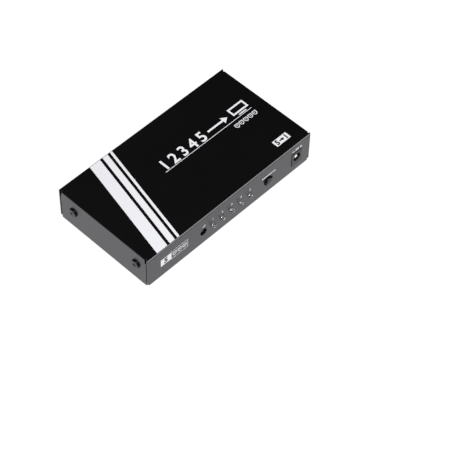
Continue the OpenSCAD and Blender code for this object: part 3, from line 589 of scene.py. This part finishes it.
bm = copied("ir_receiver")
round_edges(bm, RECEIVER_EDGE)
piece("ir_receiver_casting", bm, dark_epoxy, ["ir_receiver"])

# %% [markdown]
# ## Button
# The push button is a short moulded cap, pressed on the plunger of a switch. It is turned from a
# profile whose face is a flat arc, crowned by a third of a millimetre, and whose rim is rounded. It
# rides on its own body, so it moves when the button is pressed.

# %% Button
CAP_RIM, CAP_CROWN, CAP_SOCKET_R, CAP_SOCKET_L = 0.4, 0.3, 1.55, 3.4

low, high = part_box("button_cap")
cap_r = (high.x - low.x) / 2 / MM
cap_l = (high.y - low.y) / MM
face_r = cap_r - CAP_RIM
crown_r = (face_r ** 2 + CAP_CROWN ** 2) / (2 * CAP_CROWN)
face = arc((0, cap_l - crown_r), crown_r, 90, 90 - math.degrees(math.asin(face_r / crown_r)))
rim = arc((face_r, cap_l - CAP_CROWN - CAP_RIM), CAP_RIM, 90, 0)
socket_in = [(cap_r, 0), (CAP_SOCKET_R, 0), (CAP_SOCKET_R, CAP_SOCKET_L), (0, CAP_SOCKET_L)]
bm = turned(face + rim + socket_in, steps=64)
place(bm, ((low.x + high.x) / 2, high.y, (low.z + high.z) / 2), FORWARD)
piece("select_button_cap", bm, button_black, ["button_cap"], "select_button")

# %% [markdown]
# ## Power inlet
# The inlet is a black moulding with a round bore, a centre pin and a leaf spring under it. Copies of
# the solids keep its working sizes. Its bore gets a wider rounding at the mouth, which leads the plug.

# %% Power inlet
MOUTH_ROUND, INLET_EDGE, PIN_EDGE = 0.35, 0.12, 0.08
FACET_TILT, FACET_W = 0.1, 1.0
INLET_METALS = (("dc_jack_pin", "inlet_pin", bright_nickel), ("dc_jack_leaf", "inlet_leaf", nickel))

inlet_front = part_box("dc_jack_housing")[0].y
bm = copied("dc_jack_housing")
facets = [face for face in bm.faces if abs(face.normal.y) < FACET_TILT and len(face.verts) == 4]
mouth = {
    edge for face in facets for edge in face.edges
    if edge.calc_length() < FACET_W * MM
    and all(abs(vert.co.y - inlet_front) < MERGE for vert in edge.verts)
}
round_edges(bm, MOUTH_ROUND, 4, lambda edge: edge in mouth)
round_edges(bm, INLET_EDGE, 2)
piece("inlet_housing", bm, tool_black, ["dc_jack_housing"])
for node, name, finish in INLET_METALS:
    bm = copied(node)
    round_edges(bm, PIN_EDGE, 2)
    piece(name, bm, finish, [node])

# %% [markdown]
# ## Video sockets
# A socket is a folded nickel shell round a black tongue with gold blades. Copies with rounded edges
# give all three. Leaf springs, stamped from the shell's walls, press on the plug: each is a strip that
# is bent inwards, so it starts as a bent line, is extruded to its width and gets its thickness last.

# %% Video sockets
SHELL_EDGE = 0.14
INSERTS = {"tongue": (tool_black, "black_plastic", 0.12), "contacts": (gold, "gold_plate", 0.05)}
SPRING_W, SPRING_T, SPRING_BEND, SPRING_OFF = 1.7, 0.2, 0.45, 3.3
SPRING_RUN = ((0.7, 0.0), (1.6, 0.7), (2.3, 1.0), (3.2, 0.75), (6.2, 0.0))
SHELL_T, OPENING_H = 0.4, 4.55
SOCKETS = [f"input_{i + 1}" for i in range(INPUTS)] + ["output"]

for name in SOCKETS:
    low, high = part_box(f"{name}_shell")
    centre = (low.x + high.x) / 2
    bm = copied(f"{name}_shell")
    round_edges(bm, SHELL_EDGE)
    roof = high.z - SHELL_T * MM
    for side in (-1, 1):
        for level, way in ((roof, -1), (roof - OPENING_H * MM, 1)):
            x = centre + side * SPRING_OFF * MM - SPRING_W / 2 * MM
            line = [
                bm.verts.new((x, high.y - along * MM, level + way * bend * SPRING_BEND * MM))
                for along, bend in SPRING_RUN]
            strip = [bm.edges.new(pair) for pair in zip(line, line[1:])]
            wide = bmesh.ops.extrude_edge_only(bm, edges=strip)["geom"]
            across = [item for item in wide if isinstance(item, bmesh.types.BMVert)]
            bmesh.ops.translate(bm, vec=(SPRING_W * MM, 0, 0), verts=across)
            faces = [item for item in wide if isinstance(item, bmesh.types.BMFace)]
            bmesh.ops.solidify(bm, geom=faces, thickness=SPRING_T * MM)
    piece(f"{name}_socket_shell", bm, nickel, [f"{name}_shell"])

    for part, (finish, slot, edge) in INSERTS.items():
        bm = copied(f"{name}_{part}")
        round_edges(bm, edge, 2)
        piece(f"{name}_socket_{part}", bm, finish, [f"{name}_{part}"])

# %% [markdown]
# ## Prints
# All the markings are generic: plain numbers, arrows and small pictures of sockets. Each is a flat
# outline that is filled and extruded to the thickness of the ink, then laid on its panel. Numbers are
# made as text, turned to a mesh and laid the same way.

# %% Helpers for prints
INK = 0.02
BOLD, BOLDER = 0.018, 0.045
SOCKET_CUT, ARROW_SLENDER = 0.35, 0.75
PANEL_LOW, PANEL_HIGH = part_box("base_tray")
ON_TOP = Matrix.Translation((0, 0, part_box("top_cover")[1].z))
UPRIGHT = Matrix.Rotation(math.pi / 2, 4, "X")
ON_FRONT = Matrix.Translation((0, PANEL_LOW.y, PANEL_LOW.z)) @ UPRIGHT
ABOUT = Matrix.Rotation(math.pi, 4, "Z")
ON_REAR = Matrix.Translation((0, PANEL_HIGH.y, PANEL_LOW.z)) @ ABOUT @ UPRIGHT


def bar(left, low, right, high):
    """The outline of an upright rectangle."""
    return [(left, low), (right, low), (right, high), (left, high)]


def border(left, low, right, high, line):
    """Four bars that frame a rectangle, drawn inside its edge."""
    return [
        bar(left, low, right, low + line), bar(left, high - line, right, high),
        bar(left, low + line, left + line, high - line),
        bar(right - line, low + line, right, high - line)]


def socket(x, y, w, h):
    """The outline of a socket: a rectangle with slanted lower corners."""
    cut = h * SOCKET_CUT
    return [
        (x - w / 2, y + h / 2), (x - w / 2, y - h / 2 + cut), (x - w / 2 + cut, y - h / 2),
        (x + w / 2 - cut, y - h / 2), (x + w / 2, y - h / 2 + cut), (x + w / 2, y + h / 2)]


def socket_sign(x, y, w, h, line):
    """A small picture of a socket: its outline drawn with a line, and the tongue in it."""
    outer, inner = socket(x, y, w, h), socket(x, y, w - 2 * line, h - 2 * line)
    ring = [[outer[i - 1], outer[i], inner[i], inner[i - 1]] for i in range(len(outer))]
    return ring + [bar(x - w / 2 + 2 * line, y, x + w / 2 - 2 * line, y + line)]


def arrow(left, y, right, shaft, head):
    """The outline of an arrow to the right: the thickness of its shaft and of its head."""
    neck = right - head * ARROW_SLENDER
    return [
        (left, y - shaft / 2), (neck, y - shaft / 2), (neck, y - head / 2), (right, y),
        (neck, y + head / 2), (neck, y + shaft / 2), (left, y + shaft / 2)]


def inked(outlines, lift=0.0):
    """A bmesh of flat outlines in mm, filled and made as thick as the ink."""
    bm = bmesh.new()
    for outline in outlines:
        face = bm.faces.new([bm.verts.new((x * MM, y * MM, lift * MM)) for x, y in outline])
        face.normal_update()
        if face.normal.z < 0:
            face.normal_flip()
    raised = bmesh.ops.extrude_face_region(bm, geom=list(bm.faces), use_keep_orig=True)["geom"]
    top = [item for item in raised if isinstance(item, bmesh.types.BMVert)]
    bmesh.ops.translate(bm, vec=(0, 0, INK * MM), verts=top)
    bmesh.ops.recalc_face_normals(bm, faces=bm.faces)
    return bm


def numbered(marks, height, lift=0.0, bold=BOLD):
    """A bmesh of numbers: (text, x, y) with their middles there, all of one height in mm."""
    bm = bmesh.new()
    for text, x, y in marks:
        letters = bpy.data.curves.new("numbers", "FONT")
        letters.body = text
        letters.extrude = 1 / 2
        letters.offset = bold
        source = bpy.data.objects.new("numbers", letters)
        mesh = bpy.data.meshes.new_from_object(source)
        low = Vector([min(vert.co[i] for vert in mesh.vertices) for i in range(3)])
        high = Vector([max(vert.co[i] for vert in mesh.vertices) for i in range(3)])
        size = height * MM / (high.y - low.y)
        centred = Matrix.Translation(-(low + high) / 2)
        sized = Matrix.Diagonal((size, size, INK * MM, 1))
        mesh.transform(Matrix.Translation(Vector((x, y, lift + INK / 2)) * MM) @ sized @ centred)
        bm.from_mesh(mesh)
        bpy.data.meshes.remove(mesh)
        bpy.data.objects.remove(source)
        bpy.data.curves.remove(letters)
    bmesh.ops.remove_doubles(bm, verts=bm.verts, dist=MERGE)
    return bm


def printed(name, bm, panel, ink=None):
    """Lays a print on its panel."""
    bmesh.ops.transform(bm, matrix=panel, verts=bm.verts)
    return piece(name, bm, ink or white_ink)


def middle(node):
    """The place of a solid's middle along the front, in mm."""
    return sum(corner.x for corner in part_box(node)) / 2 / MM


# %% [markdown]
# The top carries three slanted bands at its left end, a row of numbers with an arrow to a screen, a thin
# rule, five small sockets and a badge. Bands stop just short of the cover's rounded edge. Black on white
# is a second pass through the screen, so it lies one film higher.

# %% Prints on top
BAND_FRONT, BAND_LEAN, BAND_END = -62.6, 17.0, 38.2
BANDS = ((0.0, 8.5), (10.6, 4.2), (16.8, 1.8))
ROW_LOW, ROW_HIGH = 3.2, 11.5
NUMBER_X, NUMBER_STEP = -12.0, 8.1
ROW_ARROW = (26.0, 43.5, 1.4, 5.6)
SCREEN_LEFT, SCREEN_RIGHT, SCREEN_LINE, SCREEN_FOOT, SCREEN_STAND = 47.0, 60.4, 1.3, 0.9, 3.2
RULE = (-15.4, 2.2, 60.2, 2.6)
SMALL_X, SMALL_STEP, SMALL_Y, SMALL_SIZE = 42.9, 3.95, -2.1, (3.3, 3.4, 0.55)
BADGE = (48.0, -31.9, 60.1, -26.8)
BADGE_Y, BADGE_NUMBER_H, BADGE_FIRST, BADGE_LAST = -29.35, 4.0, 50.4, 58.0
BADGE_ARROW = (52.5, 56.5, 0.9, 2.8)

bands = [
    [(BAND_FRONT + at, -BAND_END), (BAND_FRONT + at + wide, -BAND_END),
     (BAND_FRONT + at + wide + BAND_LEAN, BAND_END), (BAND_FRONT + at + BAND_LEAN, BAND_END)]
    for at, wide in BANDS]
printed("print_top_bands", inked(bands), ON_TOP)

row_y = (ROW_LOW + ROW_HIGH) / 2
digits = [(str(i + 1), NUMBER_X + i * NUMBER_STEP, row_y) for i in range(INPUTS)]
printed("print_top_numbers", numbered(digits, ROW_HIGH - ROW_LOW), ON_TOP)
left, right, shaft, head = ROW_ARROW
screen_x = (SCREEN_LEFT + SCREEN_RIGHT) / 2
signs = [arrow(left, row_y, right, shaft, head), bar(*RULE)]
signs += border(SCREEN_LEFT, ROW_LOW + 2 * SCREEN_FOOT, SCREEN_RIGHT, ROW_HIGH, SCREEN_LINE)
signs += [bar(screen_x - SCREEN_STAND, ROW_LOW, screen_x + SCREEN_STAND, ROW_LOW + SCREEN_FOOT)]
printed("print_top_signs", inked(signs), ON_TOP)

small = []
for i in range(INPUTS):
    small += socket_sign(SMALL_X + i * SMALL_STEP, SMALL_Y, *SMALL_SIZE)
printed("print_top_sockets", inked(small), ON_TOP)

printed("print_top_badge", inked([bar(*BADGE)]), ON_TOP)
left, right, shaft, head = BADGE_ARROW
badge_arrow = inked([arrow(left, BADGE_Y, right, shaft, head)], INK)
printed("print_top_badge_arrow", badge_arrow, ON_TOP, black_ink)
ends = [(str(INPUTS), BADGE_FIRST, BADGE_Y), ("1", BADGE_LAST, BADGE_Y)]
printed("print_top_badge_numbers", numbered(ends, BADGE_NUMBER_H, INK, BOLDER), ON_TOP, black_ink)

# %% [markdown]
# The front has a tag with the number of inputs, a number over each lamp, a sign for the receiver's beam,
# a row of dots and an arrow for stepping on with the button, and the poles of the power plug. Each sign
# takes its place from the solid that it belongs to.

# %% Prints on the front
LABEL_Z, LABEL_H = 16.3, 1.8
TAG, TAG_NUMBER_H = (-60.1, 9.75, -51.5, 15.85), 4.9
TAG_FRAME, TAG_LINE = (-51.4, 9.4, -37.3, 16.5), 0.3
TAG_SOCKETS, TAG_SOCKET_SIZE = (-48.5, -44.35, -40.2), (3.2, 3.4, 0.5)
BEAM_STEP, BEAM_W, BEAM_H, BEAM_GROW = 0.9, 0.5, 0.7, 0.5
DOTS, DOT_STEP, DOT_W, DOT_FIRST = 6, 1.45, 1.1, -5.9
STEP_ARROW = (2.8, 6.4, 0.6, 1.5)
POLE_Z, POLE_OFF, POLE_W, POLE_LINE, POLE_SHIFT = 19.7, 3.5, 1.9, 0.6, 0.1
FLOW_W, FLOW_GAP, FLOW_DASH = 3.2, 0.15, 0.9

front = [bar(*TAG)] + border(*TAG_FRAME, TAG_LINE)
for x in TAG_SOCKETS:
    front += socket_sign(x, (TAG_FRAME[1] + TAG_FRAME[3]) / 2, *TAG_SOCKET_SIZE)
for i in (-1, 0, 1):
    x = middle("ir_receiver") + i * BEAM_STEP
    front += [bar(x, LABEL_Z - BEAM_H, x + BEAM_W, LABEL_Z + (i + 1) * BEAM_GROW)]
button_x, inlet_x = middle("button_cap"), middle("dc_jack_housing") + POLE_SHIFT
for i in range(DOTS):
    x = button_x + DOT_FIRST + i * DOT_STEP
    front += [bar(x, LABEL_Z - DOT_W / 2, x + DOT_W, LABEL_Z + DOT_W / 2)]
left, right, shaft, head = STEP_ARROW
front += [arrow(button_x + left, LABEL_Z, button_x + right, shaft, head)]
for side in (-1, 1):
    x = inlet_x + side * POLE_OFF
    front += [bar(x - POLE_W / 2, POLE_Z - POLE_LINE / 2, x + POLE_W / 2, POLE_Z + POLE_LINE / 2)]
for side in (-1, 1):
    x, z = inlet_x + POLE_OFF, POLE_Z + side * (POLE_W + POLE_LINE) / 4
    reach = (POLE_W - POLE_LINE) / 4
    front += [bar(x - POLE_LINE / 2, z - reach, x + POLE_LINE / 2, z + reach)]
flow_low, flow_high = POLE_Z - FLOW_GAP, POLE_Z + FLOW_GAP
front += [bar(inlet_x - FLOW_W / 2, flow_high, inlet_x + FLOW_W / 2, flow_high + POLE_LINE)]
for i in (-1, 0, 1):
    x = inlet_x + i * (FLOW_W - FLOW_DASH) / 2
    front += [bar(x - FLOW_DASH / 2, flow_low - POLE_LINE, x + FLOW_DASH / 2, flow_low)]
printed("print_front_signs", inked(front), ON_FRONT)
over_lamps = [(str(i + 1), middle(f"led_{i + 1}"), LABEL_Z) for i in range(INPUTS)]
printed("print_front_numbers", numbered(over_lamps, LABEL_H), ON_FRONT)
tag_number = [(str(INPUTS), (TAG[0] + TAG[2]) / 2, (TAG[1] + TAG[3]) / 2)]
printed("print_front_tag_number", numbered(tag_number, TAG_NUMBER_H, INK, BOLDER), ON_FRONT, black_ink)

# %% [markdown]
# The rear has the number of each input over its socket, and an arrow that leaves over the output.

# %% Prints at the rear
REAR_Z, REAR_H = 14.6, 2.4
LEAVING = (-2.6, 3.0, 0.6, 2.4)

rear = [(str(i + 1), -middle(f"input_{i + 1}_shell"), REAR_Z) for i in range(INPUTS)]
printed("print_rear_numbers", numbered(rear, REAR_H), ON_REAR)
left, right, shaft, head = LEAVING
output_x = -middle("output_shell")
leaving = arrow(output_x + left, REAR_Z, output_x + right, shaft, head)
printed("print_rear_arrow", inked([leaving]), ON_REAR)

# %% [markdown]
# ## Pieces inside
# The solids inside the casing have their true shape and hardly show, so they stay as they are and only
# get their finishes.

# %% Finishes of the inner solids
INNER = {
    nickel: ("board_standoffs", "board_screws", "crystal_can"),
    tin: ("switch_pins", "led_legs", "ir_legs", "chip_leads"),
    solder_mask: ("circuit_board",),
    tool_black: ("switch_body", "switch_back", "capacitor_bases"),
    button_black: ("switch_plunger",),
    chip_epoxy: ("video_chip", "controller_chip", "voltage_regulator", "surge_arrays"),
    drawn_can: ("filter_capacitors",),
}
for finish, names in INNER.items():
    for name in names:
        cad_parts[name].material_slots[0].material = finish
    print(finish.name, "on", ", ".join(names))
